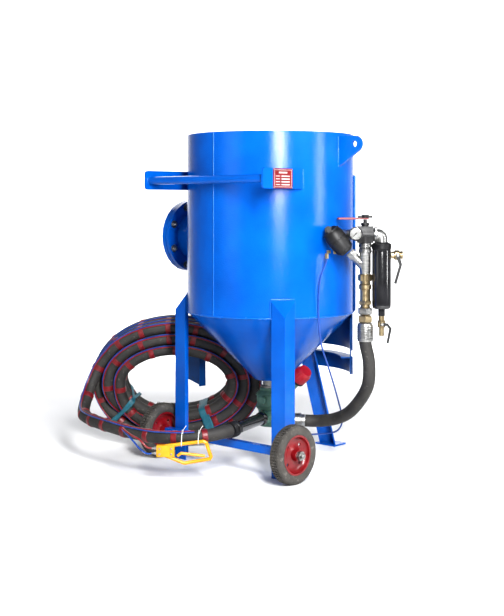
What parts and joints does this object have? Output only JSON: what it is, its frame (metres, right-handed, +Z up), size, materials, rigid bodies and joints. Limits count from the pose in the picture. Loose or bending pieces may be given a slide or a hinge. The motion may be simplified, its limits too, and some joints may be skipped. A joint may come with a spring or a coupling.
{
  "type": "abrasive blasting pot",
  "caption": "Wheeled abrasive blasting pot with an open hopper, pull handle, conical bottom, metering valve, air line and coiled blast hose.",
  "frame": {"origin": "middle of the base of everything but the hoses and what hangs on them, at floor level", "axes": "+Z up, X along the axle, pull handle and wheels towards -Y"},
  "size_m": [1.5868, 1.2104, 1.555],
  "materials": {
    "tank_paint": "gloss",
    "bracket_paint": "gloss",
    "red_paint": "gloss",
    "yellow_paint": "gloss",
    "valve_green": "satin",
    "cap_red": "satin",
    "steel": "satin",
    "brass": "polished",
    "black_metal": "satin",
    "gloss_black": "gloss",
    "hose_rubber": "matte",
    "tyre_rubber": "matte",
    "tube_blue": "gloss"
  },
  "bodies": {
    "pot": {"tank_shell": "tank_paint", "tank_cone": "tank_paint", "top_head": "tank_paint", "handhole_nozzle": "tank_paint", "handhole_cover": "tank_paint", "lifting_lug_right": "tank_paint", "lifting_lug_left": "tank_paint", "handle_arm_right": "tank_paint", "handle_arm_left": "tank_paint", "handle_tube": "tank_paint", "rear_doubler": "tank_paint", "leg_right": "tank_paint", "leg_left": "tank_paint", "rear_leg": "tank_paint", "axle_beam": "tank_paint", "rear_skirt": "bracket_paint", "rear_ring": "bracket_paint", "hose_hanger": "bracket_paint", "name_plate": "red_paint", "deadman_frame": "yellow_paint", "metering_valve": "valve_green", "actuator_cap": "cap_red", "inner_air_pipe": "steel", "outlet_collar": "steel", "axle_nut_right": "steel", "axle_nut_left": "steel", "inlet_coupling": "steel", "inlet_nipple": "steel", "separator_elbow": "steel", "y_strainer": "steel", "hose_ferrule": "steel", "tube_fitting": "brass", "supply_valve": "brass", "drain_cock": "brass", "check_valve": "brass", "hose_union": "brass", "hose_coupling": "black_metal", "main_valve": "black_metal", "gauge_body": "black_metal", "control_valve": "black_metal", "separator_head": "black_metal", "handhole_gasket": "black_metal", "outlet_pipe": "gloss_black", "separator_bowl": "gloss_black", "air_hose": "hose_rubber", "blast_hose": "hose_rubber", "blast_hose_coil": "hose_rubber", "filler_seal_ring": "hose_rubber", "control_tube": "tube_blue"},
    "wheel_right": {"wheel_rim_right": "red_paint", "tyre_right": "tyre_rubber"},
    "wheel_left": {"wheel_rim_left": "red_paint", "tyre_left": "tyre_rubber"},
    "main_lever_body": {"main_lever": "red_paint"},
    "supply_lever_body": {"supply_lever": "black_metal"},
    "drain_lever_body": {"drain_lever": "black_metal"},
    "needle": {"gauge_needle": "black_metal"},
    "popup": {"popup_valve": "hose_rubber"},
    "deadman_lever_body": {"deadman_lever": "yellow_paint"}
  },
  "joints": [
    {"name": "wheel_right_spin", "type": "hinge", "parent": "pot", "child": "wheel_right", "pos_m": [0.4147, -0.3363, 0.13], "axis": [1, 0, 0], "continuous": true},
    {"name": "wheel_left_spin", "type": "hinge", "parent": "pot", "child": "wheel_left", "pos_m": [-0.4273, -0.3363, 0.13], "axis": [1, 0, 0], "continuous": true},
    {"name": "main_lever_turn", "type": "hinge", "parent": "pot", "child": "main_lever_body", "pos_m": [0.5062, 0.0616, 1.159], "axis": [0, 0, 1], "range_deg": [0, 90]},
    {"name": "supply_lever_turn", "type": "hinge", "parent": "pot", "child": "supply_lever_body", "pos_m": [0.6356, 0.1338, 0.992], "axis": [0.6691, -0.7431, 0], "range_deg": [0, 90]},
    {"name": "drain_lever_turn", "type": "hinge", "parent": "pot", "child": "drain_lever_body", "pos_m": [0.5793, 0.0925, 0.677], "axis": [0.6691, -0.7431, 0], "range_deg": [0, 90]},
    {"name": "gauge_needle_turn", "type": "hinge", "parent": "pot", "child": "needle", "pos_m": [0.5273, -0.0351, 1.091], "axis": [-0.6691, 0.7431, 0], "range_deg": [0, 270]},
    {"name": "popup_lift", "type": "slide", "parent": "pot", "child": "popup", "axis": [0, 0, 1], "range_m": [0, 0.045]},
    {"name": "deadman_squeeze", "type": "hinge", "parent": "pot", "child": "deadman_lever_body", "pos_m": [0.1029, -0.5679, 0.116], "axis": [-0.6691, 0.7431, 0], "range_deg": [0, 12], "stiffness_Nm_per_rad": 2, "springref_deg": -5.73}
  ]
}
